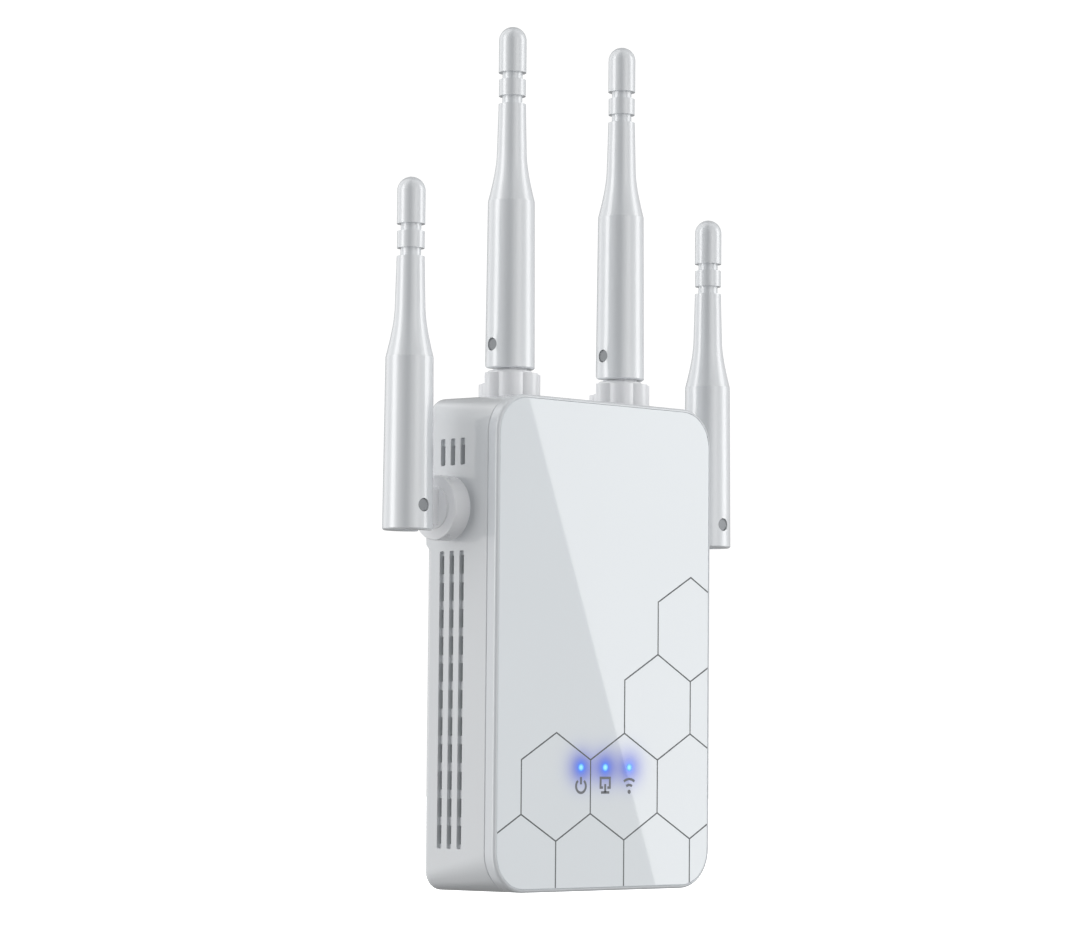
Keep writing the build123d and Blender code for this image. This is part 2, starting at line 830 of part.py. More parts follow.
def collar_stub(radius, face):
    """Round boss that fills most of the gap between the collar and the rod."""
    start = collar_start + 1
    stub = Pos(0, 0, start) * Cylinder(radius, face - start, align=ON_BASE)
    return chamfer(stub.edges().group_by(Axis.Z)[-1], 0.12)


def side_collar():
    """Plain round collar with a low stub and small notches at its lip."""
    height = side_collar_face - collar_start
    ring = Pos(0, 0, collar_start) * Cylinder(side_collar_radius, height, align=ON_BASE)
    ring = fillet(ring.edges().group_by(Axis.Z)[-1], 0.3)
    ring = chamfer(ring.edges().group_by(Axis.Z)[0], 0.2)
    for angle in notch_angles:
        place = Rot(0, 0, angle) * Pos(side_collar_radius, 0, side_collar_face - notch_drop)
        ring -= place * Box(*notch_size)
    body = ring + collar_stub(side_stub_radius, side_stub_face) + collar_core(side_pin_height)
    return body - collar_holes(side_pin_height)


def top_collar():
    """Fluted collar with a step: it is high only on the side away from the fold."""
    flower = Circle(lobe_core_radius)
    for i in range(lobe_count):
        flower += Rot(0, 0, lobe_phase + 360 * i / lobe_count) * Pos(lobe_centre, 0) * Circle(lobe_radius)
    keep = Pos(0, high_side_limit) * Rectangle(20, 20, align=(Align.CENTER, Align.MAX))
    low = Pos(0, 0, shoulder_gap) * extrude(flower, top_collar_low - shoulder_gap)
    high = Pos(0, 0, shoulder_gap) * extrude(flower & keep, top_collar_high - shoulder_gap)
    body = low + high + collar_stub(top_stub_radius, top_stub_face) + collar_core(top_pin_height)
    return body - collar_holes(top_pin_height)


def retaining_clip():
    """Open ring in the journal's groove that keeps the collar in its wall hole."""
    ring = Pos(0, 0, -clip_front - clip_thickness) * Cylinder(clip_radius, clip_thickness, align=ON_BASE)
    ring -= Pos(0, 0, -clip_front - clip_thickness - 1) * Cylinder(clip_groove_radius, 3, align=ON_BASE)
    gap = Pos(0, 0, -clip_front - clip_thickness - 1) * Box(10, clip_opening, 4, align=LOW_CORNER)
    return ring - Pos(0, -clip_opening / 2, 0) * gap


def rod_profile():
    """Half of the rod's outline; X is the radius and Y the height above the rod's lower end."""
    dome_centre = rod_length - tip_radius
    slope = 0.9
    shoulder_low = (rod_wide_radius, rod_wide_top)
    shoulder_high = (rod_thin_radius, rod_thin_bottom)
    with BuildSketch() as sketch:
        with BuildLine():
            Line((0, 0), (rod_end_radius - end_round, 0))
            Line((rod_end_radius - end_round, 0), (rod_end_radius, end_round))
            Line((rod_end_radius, end_round), shoulder_low)
            Bezier(
                shoulder_low,
                (rod_wide_radius - slope, rod_wide_top + 3.6),
                (rod_thin_radius, rod_thin_bottom - 3.4),
                shoulder_high,
            )
            Polyline(
                shoulder_high,
                (rod_neck_radius, lower_groove[0]),
                (groove_radius, lower_groove[0]),
                (groove_radius, lower_groove[1]),
                (ring_radius, lower_groove[1]),
                (ring_radius, upper_groove[0]),
                (groove_radius, upper_groove[0]),
                (groove_radius, upper_groove[1]),
                (tip_radius, upper_groove[1]),
                (tip_radius, dome_centre),
            )
            RadiusArc((tip_radius, dome_centre), (0, rod_length), -tip_radius)
            Line((0, rod_length), (0, 0))
        make_face()
    return sketch.sketch


def rod_slot():
    """The slot for the collar's tongue: open at the rod's end and towards the fold."""
    reach = tongue_radius + tongue_gap
    width = 2 * (tongue_half + tongue_gap)
    outline = Circle(reach)
    outline += Pos(-reach, 0) * Rectangle(20, 20, align=(Align.MIN, Align.MAX))
    outline += Rectangle(20, reach, align=(Align.MIN, Align.MIN))
    return extrude(Plane.YZ.offset(-width / 2) * outline, width)


def antenna_sleeve(heel_radius):
    """Tapering sleeve with its origin at the pin: slotted end, two grooves and a domed tip."""
    profile = Plane.XZ * rod_profile()
    sleeve = Pos(0, 0, -rod_end) * revolve(profile, Axis.Z)
    sleeve -= rod_slot()
    heel = Rectangle(20, 20, align=(Align.MIN, Align.MAX)) - Circle(heel_radius)
    sleeve -= extrude(Plane.YZ.offset(-10) * heel, 20)
    bore_top = rod_bore_top - rod_end
    sleeve -= Cylinder(rod_bore_radius, bore_top, align=ON_BASE)
    return sleeve - Rot(0, 90, 0) * Cylinder(pin_radius, 20, align=CENTRE)


def antenna_pin():
    """Cross pin, a little shorter than the rod is wide."""
    pin = Rot(0, 90, 0) * Cylinder(pin_radius, 2 * pin_half_length, align=CENTRE)
    return chamfer(pin.edges().filter_by(GeomType.CIRCLE), 0.15)


def antenna_radiator():
    """Brass sleeve dipole: a foot that grips the bore, a tube and a thin wire."""
    foot = radiator_foot - rod_end
    tube_top = radiator_tube_top - rod_end
    wire_top = radiator_wire_top - rod_end
    radiator = Pos(0, 0, foot) * Cylinder(rod_bore_radius, 2.0, align=ON_BASE)
    radiator += Pos(0, 0, foot) * Cylinder(radiator_tube_radius, tube_top - foot, align=ON_BASE)
    return radiator + Pos(0, 0, foot) * Cylinder(radiator_wire_radius, wire_top - foot, align=ON_BASE)


# ---- Leads ----
def tube(points, radii, radius):
    """A round lead along straight runs joined by arcs."""
    path = FilletPolyline(*points, radius=radii)
    start = Plane(origin=path @ 0, z_dir=path % 0)
    lead = sweep(start * Circle(radius), path=path)
    ratio = lead.volume / (math.pi * radius**2 * path.length)
    print(f"lead: length {path.length:.1f}, bend radii {radii}, volume ratio {ratio:.4f}")
    return lead


def side_coax(side):
    """Lead from the outer socket up and out through the side wall's collar."""
    x = side * side_socket_x
    points = [
        (x, board_back + socket_height, socket_z),
        (x, lead_plane_y, socket_z),
        (x, side_mount_y, side_mount_z),
        (side * (body_width / 2 + lead_end), side_mount_y, side_mount_z),
    ]
    return tube(points, [1.7, 3.4], lead_radius)


def top_coax(side):
    """Lead from the inner socket up through the top wall's collar."""
    points = [
        (side * top_socket_x, board_back + socket_height, socket_z),
        (side * top_socket_x, lead_plane_y, socket_z),
        (side * top_mount_x, top_mount_y, 2.0),
        (side * top_mount_x, top_mount_y, body_top + lead_end),
    ]
    return tube(points, [1.7, 8.0], lead_radius)


def power_lead():
    """Two wires from the power board to the main board's power socket."""
    wires = []
    for offset in (0.0, 2.4):
        points = [
            (12.2 + offset, power_front, -22.0),
            (12.2 + offset, -16.5, -22.0),
            (20.0, -17.2, -39.8 - offset),
            (20.0, board_back + 2.5, -39.8 - offset),
        ]
        wires.append(tube(points, [2.0, 2.0], 0.6))
    return Compound(wires)


# ---- Assembly ----
parts = {
    "rear_housing": rear_housing(),
    "front_cover": front_cover(),
    "front_panel": front_panel(),
    "hexagon_inlay": hexagon_inlay(),
    "led_light_guide": led_light_guide(),
    "main_board": main_board(),
    "status_leds": status_leds(),
    "wifi_processor": wifi_processor(),
    "memory_chip": memory_chip(),
    "radio_chips": radio_chips(),
    "network_transformer": network_transformer(),
    "radio_shields": radio_shields(),
    "thermal_pad": thermal_pad(),
    "heat_sink": heat_sink(),
    "ethernet_jack": ethernet_jack(),
    "jack_contacts": jack_contacts(),
    "antenna_sockets": antenna_sockets(),
    "button_switches": button_switches(),
    "power_socket": power_socket(),
    "power_board": power_board(),
    "plug_blades": plug_blades(),
    "blade_carrier": blade_carrier(),
    "transformer_core": transformer_core(),
    "transformer_winding": transformer_winding(),
    "bulk_capacitors": bulk_capacitors(),
    "output_capacitor": output_capacitor(),
    "rectifier": rectifier(),
    "mains_fuse": mains_fuse(),
    "safety_capacitor": safety_capacitor(),
    "power_lead": power_lead(),
    "wps_button": button(wps_x, wps_radius),
    "reset_button": button(reset_x, reset_radius),
    "case_screws": case_screws(),
    "board_screws": board_screws(),
    "power_board_screws": power_board_screws(),
}

# Where each antenna stands, whether it is folded up at rest, and its lead
half_width = body_width / 2
antennas = {
    "left": (Plane((-half_width, side_mount_y, side_mount_z), (0, -1, 0), (-1, 0, 0)), True, side_coax(-1)),
    "top_left": (Plane((-top_mount_x, top_mount_y, body_top), (1, 0, 0)), False, top_coax(-1)),
    "top_right": (Plane((top_mount_x, top_mount_y, body_top), (1, 0, 0)), False, top_coax(1)),
    "right": (Plane((half_width, side_mount_y, side_mount_z), (0, 1, 0), (1, 0, 0)), True, side_coax(1)),
}
for name, (mount, folded, lead) in antennas.items():
    pin_height = side_pin_height if folded else top_pin_height
    heel_radius = side_heel_radius if folded else top_heel_radius
    rod_place = mount.location * Pos(0, 0, pin_height) * Rot(-90 if folded else 0, 0, 0)
    parts[f"{name}_antenna_collar"] = mount.location * (side_collar() if folded else top_collar())
    parts[f"{name}_antenna_clip"] = mount.location * retaining_clip()
    parts[f"{name}_antenna_pin"] = rod_place * antenna_pin()
    parts[f"{name}_antenna_sleeve"] = rod_place * antenna_sleeve(heel_radius)
    parts[f"{name}_antenna_radiator"] = rod_place * antenna_radiator()
    parts[f"{name}_coax_lead"] = lead

os.makedirs("parts", exist_ok=True)
for node, shape in parts.items():
    export_step(shape, f"parts/{node}.step")
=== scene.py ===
import math

import bmesh
import bpy
from mathutils import Matrix, Vector


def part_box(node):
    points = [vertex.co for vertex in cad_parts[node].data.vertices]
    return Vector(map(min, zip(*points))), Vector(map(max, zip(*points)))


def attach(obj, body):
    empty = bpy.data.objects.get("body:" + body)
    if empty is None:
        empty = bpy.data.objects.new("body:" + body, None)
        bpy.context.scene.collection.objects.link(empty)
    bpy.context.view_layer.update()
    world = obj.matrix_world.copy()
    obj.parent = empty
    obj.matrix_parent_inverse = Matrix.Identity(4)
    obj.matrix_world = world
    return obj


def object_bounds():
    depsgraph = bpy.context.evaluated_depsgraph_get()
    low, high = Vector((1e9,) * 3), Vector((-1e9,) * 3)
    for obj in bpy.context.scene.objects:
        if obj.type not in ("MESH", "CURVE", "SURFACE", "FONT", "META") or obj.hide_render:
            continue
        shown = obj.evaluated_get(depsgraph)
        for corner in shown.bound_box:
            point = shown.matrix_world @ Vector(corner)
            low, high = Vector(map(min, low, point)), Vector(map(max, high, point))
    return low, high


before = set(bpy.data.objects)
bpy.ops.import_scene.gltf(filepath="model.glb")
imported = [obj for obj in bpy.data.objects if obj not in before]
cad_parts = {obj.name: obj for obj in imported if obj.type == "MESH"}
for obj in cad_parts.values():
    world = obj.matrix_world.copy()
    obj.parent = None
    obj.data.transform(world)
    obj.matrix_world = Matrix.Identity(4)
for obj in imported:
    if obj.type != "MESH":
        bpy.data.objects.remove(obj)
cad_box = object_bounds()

# Looks for the wifi range extender: materials for every CAD node, the printed icons, the glow of the status
# lights with a painted glow in the panel around them, and a small white studio. Lengths are in metres, in
# the CAD model's frame.

MM = 0.001
NAMES = ("left", "top_left", "top_right", "right")

# ---- Places taken from the frame ----
PANEL_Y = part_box("front_panel")[0].y
LEDS_LOW, LEDS_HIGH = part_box("status_leds")
LIGHTS_CENTRE = (LEDS_LOW + LEDS_HIGH) / 2
LED_WIDTH = 1.6 * MM
LIGHT_PITCH = (LEDS_HIGH.x - LEDS_LOW.x - LED_WIDTH) / 2
LIGHT_PLACES = [Vector((LIGHTS_CENTRE.x + step * LIGHT_PITCH, 0, LIGHTS_CENTRE.z)) for step in (-1, 0, 1)]
HOUSING_LOW, HOUSING_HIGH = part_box("rear_housing")
HOUSING_CENTRE = (HOUSING_LOW + HOUSING_HIGH) / 2

# ---- Camera ----
CAMERA_PLACE = Vector((-0.47189, -0.53534, -0.0507))
CAMERA_YAW = math.radians(42.06)
CAMERA_PITCH = math.radians(4.41)
CAMERA_ROLL = math.radians(0.49)
CAMERA_LENS = 116.39
SENSOR_WIDTH = 36.0
NEAREST_SEEN = 0.01
UP = Vector((0, 0, 1))
# Level directions from the object towards the camera's side, and towards its right
TO_CAMERA = Vector((-math.sin(CAMERA_YAW), -math.cos(CAMERA_YAW), 0))
TO_RIGHT = Vector((math.cos(CAMERA_YAW), -math.sin(CAMERA_YAW), 0))

# ---- Studio ----
FLOOR_DROP = 0.12
FLOOR_RADIUS = 8.0
FLOOR_SIDES = 96
# Distances from the middle at which the floor starts to glow, and has turned white
FLOOR_FADE = (0.5, 1.6)
FLOOR_COLOR = (0.80, 0.81, 0.82)
BACKDROP = 1.05
# The diagonal edge mirrored in the panel: x and z of its two ends there, and the softbox that casts it
GLOSS_TOP = (-21.0 * MM, 15.3 * MM)
GLOSS_BOTTOM = (14.1 * MM, -80.3 * MM)
PANEL_SOFTBOX_LIGHT = 1.5
PANEL_SOFTBOX_DISTANCE = 1.0
PANEL_SOFTBOX_SIZE = (0.5, 1.3)
# Brightness of the room around the object, by degrees from the camera's side and positive to its right:
# a bright window on the left, a broad soft light on the right and a dark gap behind the camera
ROOM_LIGHT = (
    (-180, 0.35), (-150, 0.38), (-125, 1.4), (-108, 1.0), (-90, 1.0), (-80, 1.8), (-60, 1.2),
    (-45, 0.8), (-30, 0.38), (-12, 0.04), (2, 0.1), (18, 1.0), (34, 0.85), (70, 1.05), (90, 1.2),
    (108, 0.8), (130, 0.7), (150, 0.45), (180, 0.35),
)
ROOM_PEAK = 1.8
# Two softboxes that fill without shadows: degrees as above, width, height and brightness
FILLS = {"left_fill": (-70, 0.42, 1.6, 1.5), "right_fill": (40, 0.4, 1.2, 0.7)}
# The room dims towards the ground, between these two heights of the unit direction, down to this share
LOW_EDGE = (-0.8, -0.1)
LOW_SHARE = 0.3

# ---- Printed icons ----
ICON_DROP = 3.45 * MM
ICON_LINE = 0.5 * MM
INK_HEIGHT = 0.02 * MM

# ---- Surfaces ----
CASING_WHITE = (0.60, 0.62, 0.64)
COVER_WHITE = (0.63, 0.655, 0.68)
PANEL_WHITE = (0.71, 0.75, 0.78)
ANTENNA_WHITE = (0.66, 0.685, 0.71)
COLLAR_WHITE = (0.74, 0.75, 0.77)
BUTTON_WHITE = (0.74, 0.765, 0.785)
DARK = (0.035, 0.036, 0.04)
DULL_BLACK = (0.045, 0.046, 0.05)
STEEL = (0.62, 0.63, 0.65)
BRASS = (0.83, 0.62, 0.28)
RIPPLE_DEPTH = 0.0003 * MM
RIPPLE_SIZE = 0.35 * MM
TONE_SIZE = 30 * MM
GLOSS_SIZE = 6 * MM
GRAIN_HEIGHT = 0.004 * MM
MARK_HEIGHT = 0.002 * MM
TRACK_PITCH = 3.2 * MM
TRACK_STEP = 0.02 * MM
PAD_PITCH = 5 * MM
BAND_HEIGHT = 0.03 * MM
# A wave texture of scale 1 makes about this many bands in a metre
BANDS_AT_SCALE_ONE = 3.14
# Painted glow of the status lights in the panel: reach of its halo, reach of its bright core, and strength
# of its emission
PAINTED_GLOW_RADIUS = 3.4 * MM
PAINTED_GLOW_CORE = 1.15 * MM
PAINTED_GLOW_STRENGTH = 0.4
LIGHT_RIM = (0.25 * MM, 0.75 * MM)


# ---- Material building ----
class Nodes:
    """A node tree, with short calls that add and link nodes."""

    def __init__(self, tree):
        self.tree = tree

    def node(self, kind, values=None, **settings):
        """Adds a node; values fill or link its inputs, settings are its properties."""
        made = self.tree.nodes.new(kind)
        for key, value in settings.items():
            setattr(made, key, value)
        for key, value in (values or {}).items():
            self.feed(made.inputs[key], value)
        return made

    def feed(self, socket, value):
        """Links an output to a socket, or sets the socket to a plain value."""
        if isinstance(value, bpy.types.NodeSocket):
            self.tree.links.new(value, socket)
        else:
            socket.default_value = value

    def math(self, operation, a, b=0.0):
        return self.node("ShaderNodeMath", {0: a, 1: b}, operation=operation).outputs[0]

    def dot(self, a, b):
        made = self.node("ShaderNodeVectorMath", {0: a, 1: b}, operation="DOT_PRODUCT")
        return made.outputs["Value"]

    def mix(self, factor, a, b, blend="MIX"):
        """Mixes two colours."""
        made = self.node("ShaderNodeMix", {0: factor, 6: a, 7: b}, data_type="RGBA", blend_type=blend)
        return made.outputs[2]

    def ramp(self, value, low, high, to_low=0.0, to_high=1.0):
        """Maps a value from one range to another, held at the ends."""
        values = {0: value, 1: low, 2: high, 3: to_low, 4: to_high}
        return self.node("ShaderNodeMapRange", values).outputs[0]


class Shader(Nodes):
    """A material with a principled surface, textured in the part's own coordinates."""

    def __init__(self, name):
        self.material = bpy.data.materials.new(name)
        self.material.use_nodes = True
        super().__init__(self.material.node_tree)
        self.surface = self.tree.nodes["Principled BSDF"]
        self.place = self.node("ShaderNodeTexCoord").outputs["Object"]

    def set(self, **values):
        """Fills the surface shader's inputs; an underscore in a key stands for a space."""
        for key, value in values.items():
            self.feed(self.surface.inputs[key.replace("_", " ")], value)

    def noise(self, size, detail=2.0, stretch=(1, 1, 1)):
        """Noise whose features are about the given size in metres."""
        scaled = self.node("ShaderNodeMapping", {"Vector": self.place, "Scale": stretch})
        values = {"Vector": scaled.outputs[0], "Scale": 1 / size, "Detail": detail}
        return self.node("ShaderNodeTexNoise", values).outputs[0]

    def bump(self, height, distance):
        """Feeds the surface's normal from a height."""
        made = self.node("ShaderNodeBump", {"Height": height, "Distance": distance})
        self.set(Normal=made.outputs[0])


def shade(color, factor):
    """A colour made lighter or darker."""
    return tuple(min(1.0, channel * factor) for channel in color[:3]) + (1,)


def toned(shader, color, spread, size):
    """The colour with soft, slight changes of tone across the part."""
    tone = shader.ramp(shader.noise(size, 1.0), 0.3, 0.7)
    return shader.mix(tone, shade(color, 1 - spread), shade(color, 1 + spread))


def uneven(shader, pattern, roughness, spread, low=0.3, high=0.7):
    """The roughness, a share of it lower and higher from place to place with the pattern."""
    return shader.ramp(pattern, low, high, roughness * (1 - spread), roughness * (1 + spread))


def moulded_plastic(name, color, roughness, depth=RIPPLE_DEPTH, spread=0.008):
    """Injection-moulded plastic: faint flow tones, a fine surface ripple and uneven gloss."""
    shader = Shader(name)
    shader.set(Base_Color=toned(shader, color, spread, TONE_SIZE))
    shader.set(Roughness=uneven(shader, shader.noise(GLOSS_SIZE, 1.0), roughness, 0.05))
    shader.bump(shader.noise(RIPPLE_SIZE, 3.0), depth)
    return shader


def coated_plastic(name, color, roughness, coat_roughness, coat_ior, depth=RIPPLE_DEPTH):
    """Moulded plastic under a clear gloss coat."""
    shader = moulded_plastic(name, color, roughness, depth)
    shader.set(Coat_Weight=1.0, Coat_Roughness=coat_roughness, Coat_IOR=coat_ior)
    return shader


def metal(name, color, roughness, stretch=(1, 1, 1), grain=0.15 * MM):
    """Metal with fine rolling or turning marks along one axis."""
    shader = Shader(name)
    marks = shader.noise(grain, 4.0, stretch)
    shader.set(Metallic=1.0)
    shader.set(Base_Color=shader.mix(marks, shade(color, 0.82), shade(color, 1.08)))
    shader.set(Roughness=uneven(shader, marks, roughness, 0.3, low=0.2, high=0.8))
    shader.bump(marks, MARK_HEIGHT)
    return shader


def speckled(name, color, roughness, size, contrast):
    """A dull moulded or sintered surface with fine grains."""
    shader = Shader(name)
    grains = shader.noise(size, 5.0)
    shader.set(Base_Color=shader.mix(grains, shade(color, 1 - contrast), shade(color, 1 + contrast)))
    shader.set(Roughness=uneven(shader, grains, roughness, 0.1))
    shader.bump(grains, GRAIN_HEIGHT)
    return shader


def circuit_board():
    """Green solder mask over copper tracks, with plated holes."""
    shader = Shader("circuit_board")
    cells = {"Vector": shader.place, "Scale": 1 / TRACK_PITCH}
    tracks = shader.node("ShaderNodeTexVoronoi", cells, distance="MANHATTAN", feature="DISTANCE_TO_EDGE")
    track = shader.ramp(tracks.outputs[0], 0.06, 0.09)
    rings = shader.node("ShaderNodeTexVoronoi", {"Vector": shader.place, "Scale": 1 / PAD_PITCH})
    pad = shader.ramp(rings.outputs["Distance"], 0.10, 0.12)
    mask = shader.mix(track, (0.035, 0.24, 0.09, 1), (0.02, 0.15, 0.06, 1))
    shader.set(Base_Color=shader.mix(pad, (0.75, 0.6, 0.3, 1), mask), Roughness=0.35)
    shader.bump(track, -TRACK_STEP)
    return shader


def banded(name, color, other, pitch, axis, roughness):
    """Turns of tape or a striped sleeve, in bands along one axis."""
    shader = Shader(name)
    values = {"Vector": shader.place, "Scale": 1 / pitch / BANDS_AT_SCALE_ONE, "Distortion": 0.4}
    bands = shader.node("ShaderNodeTexWave", values, bands_direction=axis).outputs[0]
    shader.set(Base_Color=shader.mix(bands, color, other), Roughness=roughness)
    shader.bump(bands, BAND_HEIGHT)
    return shader


def distance_to_light(shader, light):
    """Distance in the panel's plane from the axis of one status light."""
    flat = shader.node("ShaderNodeVectorMath", {0: shader.place, 1: (1, 0, 1)}, operation="MULTIPLY")
    values = {0: flat.outputs[0], 1: light}
    return shader.node("ShaderNodeVectorMath", values, operation="DISTANCE").outputs["Value"]


def falloff(shader, distance, radius):
    """A soft round spot: 1 in the middle, fading with distance."""
    share = shader.math("DIVIDE", distance, radius)
    return shader.math("EXPONENT", shader.math("MULTIPLY", shader.math("POWER", share, 2.0), -1.0))


def glossy_panel():
    """Mirror-gloss white with a painted glow: the violet light that the status lights throw into it, painted
    into its colour and emission.
    """
    shader = coated_plastic("panel_gloss", PANEL_WHITE, 0.02, coat_roughness=0.01, coat_ior=1.5, depth=0.0)
    color = shader.surface.inputs["Base Color"].links[0].from_socket
    painted_glow = 0.0
    # Around each status light a painted halo tints the panel's colour blue, and a painted bright core turns
    # it deep blue
    for light in LIGHT_PLACES:
        distance = distance_to_light(shader, light)
        wide = falloff(shader, distance, PAINTED_GLOW_RADIUS)
        color = shader.mix(wide, color, shader.mix(1.0, color, (0.14, 0.20, 0.95, 1), "MULTIPLY"))
        close = falloff(shader, distance, PAINTED_GLOW_CORE)
        color = shader.mix(close, color, (0.02, 0.16, 0.80, 1))
        painted_glow = shader.math("ADD", close, painted_glow)
    # The panel's emission near the lights is painted glow; the panel itself is no lamp
    shader.set(Base_Color=color, Emission_Color=(0.02, 0.20, 0.9, 1))
    shader.set(Emission_Strength=shader.math("MULTIPLY", painted_glow, PAINTED_GLOW_STRENGTH))
    return shader


def light_guide():
    """Clear plastic lit from behind: pale in the middle of each light and azure at its rim."""
    shader = Shader("light_guide")
    nearest = None
    for light in LIGHT_PLACES:
        distance = distance_to_light(shader, light)
        nearest = distance if nearest is None else shader.math("MINIMUM", nearest, distance)
    rim = shader.ramp(nearest, *LIGHT_RIM)
    streaks = shader.ramp(shader.noise(1.5 * MM), 0.3, 0.7, 0.92, 1.0)
    shader.set(Base_Color=shader.mix(rim, (0.1, 0.3, 0.5, 1), (0.02, 0.12, 0.5, 1)), Roughness=0.15)
    shader.set(Emission_Color=shader.mix(rim, (0.24, 0.66, 0.95, 1), (0.01, 0.18, 0.85, 1)))
    shader.set(Emission_Strength=streaks)
    return shader


def lit_led():
    """A small lens that glows blue, with fine paler cells."""
    shader = Shader("lit_led")
    cells = shader.noise(0.4 * MM)
    shader.set(Base_Color=shader.mix(cells, (0.6, 0.8, 1.0, 1), (0.3, 0.5, 1.0, 1)), Roughness=0.2)
    shader.set(Emission_Color=(0.1, 0.4, 1.0, 1), Emission_Strength=2.0)
    return shader


def make_materials():
    """One material for each kind of surface, by name."""
    return {
        "casing": coated_plastic("casing_white", CASING_WHITE, 0.3, coat_roughness=0.03, coat_ior=1.75),
        "cover": coated_plastic("cover_white", COVER_WHITE, 0.3, coat_roughness=0.05, coat_ior=1.6),
        "panel": glossy_panel(),
        "antenna": coated_plastic("antenna_white", ANTENNA_WHITE, 0.4, coat_roughness=0.25, coat_ior=2.2),
        "collar": coated_plastic("collar_white", COLLAR_WHITE, 0.4, coat_roughness=0.3, coat_ior=1.5),
        "button": moulded_plastic("button_white", BUTTON_WHITE, 0.35),
        "inlay": speckled("inlay_grey", (0.09, 0.10, 0.105), 0.5, 0.3 * MM, 0.25),
        "ink": speckled("icon_ink", (0.16, 0.17, 0.19), 0.6, 0.3 * MM, 0.2),
        "guide": light_guide(),
        "led": lit_led(),
        "board": circuit_board(),
        "chip": speckled("chip_black", DARK, 0.55, 0.2 * MM, 0.35),
        "dark_plastic": moulded_plastic("dark_plastic", DULL_BLACK, 0.45, depth=GRAIN_HEIGHT, spread=0.1),
        "steel": metal("shield_steel", STEEL, 0.3, (1, 1, 6)),
        "pin": metal("pin_steel", (0.22, 0.23, 0.24), 0.45),
        "screw": metal("screw_steel", (0.5, 0.5, 0.52), 0.32, (1, 8, 1)),
        "sink": metal("sink_aluminium", (0.8, 0.81, 0.83), 0.38, (1, 1, 10)),
        "gold": metal("gold_plate", (0.9, 0.68, 0.3), 0.22),
        "blade": metal("blade_nickel", (0.80, 0.76, 0.66), 0.24, (1, 0.15, 3)),
        "radiator": metal("radiator_brass", BRASS, 0.3, (1, 1, 8)),
        "pad": speckled("pad_rubber", (0.35, 0.42, 0.55), 0.8, 0.4 * MM, 0.15),
        "ferrite": speckled("ferrite_grey", (0.05, 0.05, 0.052), 0.7, 0.3 * MM, 0.3),
        "tape": banded("winding_tape", (0.80, 0.60, 0.08, 1), (0.62, 0.44, 0.04, 1), 2.4 * MM, "Z", 0.4),
        "sleeve": banded("capacitor_sleeve", (0.02, 0.03, 0.09, 1), (0.05, 0.07, 0.16, 1), 6 * MM, "Y", 0.3),
        "fuse": banded("fuse_body", (0.62, 0.58, 0.5, 1), (0.5, 0.5, 0.5, 1), 5 * MM, "X", 0.3),
        "disc": speckled("disc_blue", (0.05, 0.17, 0.5), 0.35, 0.5 * MM, 0.2),
        "red_wire": speckled("wire_red", (0.5, 0.03, 0.03), 0.4, 0.5 * MM, 0.12),
        "black_wire": speckled("coax_black", (0.02, 0.02, 0.022), 0.45, 0.4 * MM, 0.3),
    }


NODE_MATERIALS = {
    "rear_housing": "casing",
    "front_cover": "cover",
    "front_panel": "panel",
    "hexagon_inlay": "inlay",
    "led_light_guide": "guide",
    "status_leds": "led",
    "main_board": "board",
    "power_board": "board",
    "wifi_processor": "chip",
    "memory_chip": "chip",
    "radio_chips": "chip",
    "network_transformer": "chip",
    "rectifier": "chip",
    "button_switches": "dark_plastic",
    "ethernet_jack": "dark_plastic",
    "power_socket": "dark_plastic",
    "blade_carrier": "dark_plastic",
    "radio_shields": "steel",
    "case_screws": "screw",
    "board_screws": "screw",
    "power_board_screws": "screw",
    "thermal_pad": "pad",
    "heat_sink": "sink",
    "jack_contacts": "gold",
    "antenna_sockets": "gold",
    "plug_blades": "blade",
    "transformer_core": "ferrite",
    "transformer_winding": "tape",
    "bulk_capacitors": "sleeve",
    "output_capacitor": "sleeve",
    "mains_fuse": "fuse",
    "safety_capacitor": "disc",
    "power_lead": "red_wire",
    "wps_button": "button",
    "reset_button": "button",
}
ANTENNA_MATERIALS = {
    "antenna_collar": "collar",
    "antenna_clip": "screw",
    "antenna_pin": "pin",
    "antenna_sleeve": "antenna",
    "antenna_radiator": "radiator",
    "coax_lead": "black_wire",
}


def paint_nodes(materials):
    """Gives every CAD node its material."""
    plan = dict(NODE_MATERIALS)
    for name in NAMES:
        for part, kind in ANTENNA_MATERIALS.items():
            plan[f"{name}_{part}"] = kind
    for node, kind in plan.items():
        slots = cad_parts[node].data.materials
        slots.clear()
        slots.append(materials[kind].material)


# ---- Printed icons ----
def arc(centre, radius, start, end, steps=20):
    """Points along an arc; angles are in degrees from +X towards +Z."""
    angles = [math.radians(start + (end - start) * i / steps) for i in range(steps + 1)]
    return [centre + radius * Vector((math.cos(angle), math.sin(angle))) for angle in angles]


def add_stroke(mesh, points, origin):
    """Adds a flat line of ink along the points, with mitred corners."""
    half = ICON_LINE / 2
    rows = []
    for i, point in enumerate(points):
        before = (point - points[i - 1]).normalized() if i > 0 else None
        after = (points[i + 1] - point).normalized() if i < len(points) - 1 else None
        along = ((before or after) + (after or before)).normalized()
        across = Vector((-along.y, along.x))
        turn = abs(along.dot(before or after))
        step = across * half / turn
        rows.append([origin + Vector((p.x, 0, p.y)) for p in (point - step, point + step)])
    made = [[mesh.verts.new(corner) for corner in row] for row in rows]
    for low, high in zip(made, made[1:]):
        mesh.faces.new((low[0], high[0], high[1], low[1]))


def add_dot(mesh, centre, radius, origin):
    """Adds a round spot of ink."""
    ring = [origin + Vector((p.x, 0, p.y)) for p in arc(centre, radius, 0, 345, 23)]
    mesh.faces.new([mesh.verts.new(corner) for corner in ring])


